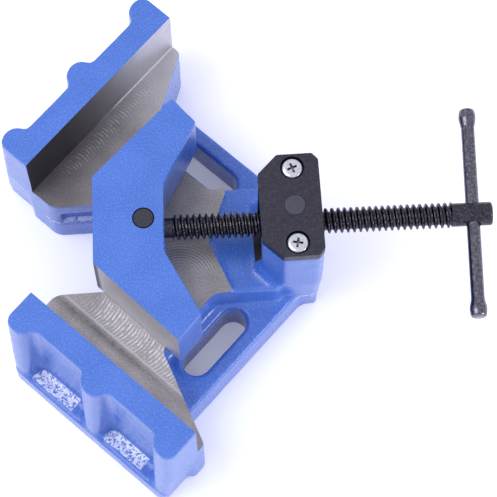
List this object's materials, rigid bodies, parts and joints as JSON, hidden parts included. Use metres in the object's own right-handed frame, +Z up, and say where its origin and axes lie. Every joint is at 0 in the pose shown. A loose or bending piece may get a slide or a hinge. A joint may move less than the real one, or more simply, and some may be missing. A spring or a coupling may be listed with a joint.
{
  "type": "corner clamp",
  "caption": "Cast-iron corner clamp that holds work at a right angle: fixed V of ribbed jaws, V-shaped moving jaw on a lead screw with a sliding bar.",
  "frame": {"origin": "on the underside, below the axis that the swivel nut turns on", "axes": "+Z up, +X from the work towards the handle in the middle plane, +Y across"},
  "size_m": [0.2499, 0.252, 0.0883],
  "materials": {
    "base_enamel": "blue gloss enamel on cast iron, the jaw faces and the floor machined bare",
    "jaw_enamel": "blue gloss enamel on cast iron, the working faces milled bare",
    "plate_black_oxide": "black-oxide steel plate, lightly scratched",
    "screw_black_oxide": "black-oxide steel, rolled thread",
    "bar_black_oxide": "black-oxide steel bar with a mottled gloss",
    "nut_steel": "dark turned steel",
    "barrel_steel": "dark turned steel",
    "pin_steel": "ground steel pin",
    "zinc_screw": "bright zinc-plated cross-recessed screw"
  },
  "bodies": {
    "base": {"base_casting": "base_enamel", "cover_plate": "plate_black_oxide", "cover_screw_a": "zinc_screw", "cover_screw_b": "zinc_screw"},
    "nut": {"swivel_nut": "nut_steel"},
    "carrier": {"swivel_barrel": "barrel_steel", "retaining_pin_a": "pin_steel", "retaining_pin_b": "pin_steel"},
    "screw": {"lead_screw": "screw_black_oxide"},
    "bar": {"tommy_bar": "bar_black_oxide"},
    "jaw": {"moving_jaw": "jaw_enamel"}
  },
  "joints": [
    {"name": "nut_swivel", "type": "hinge", "parent": "base", "child": "nut", "pos_m": [0, 0, 0.0627], "axis": [0, 0, 1], "range_deg": [-0.35, 2.65]},
    {"name": "jaw_travel", "type": "slide", "parent": "nut", "child": "carrier", "axis": [0.9998, -0.0201, 0], "range_m": [-0.0355, 0.0445]},
    {"name": "screw_turn", "type": "hinge", "parent": "carrier", "child": "screw", "pos_m": [0, 0, 0.0627], "axis": [0.9998, -0.0201, 0], "range_deg": [-3993.75, 5006.25]},
    {"name": "bar_slide", "type": "slide", "parent": "screw", "child": "bar", "axis": [0.0445, 0.999, 0], "range_m": [-0.04, 0.0376]},
    {"name": "jaw_pivot", "type": "hinge", "parent": "carrier", "child": "jaw", "pos_m": [-0.07619, 0.00153, 0.061], "axis": [0, 0, 1], "range_deg": [-0.75, 2.25]}
  ],
  "couplings": [
    {"joint": "screw_turn", "follows": "jaw_travel", "rad_per_m": 1963.5}
  ]
}
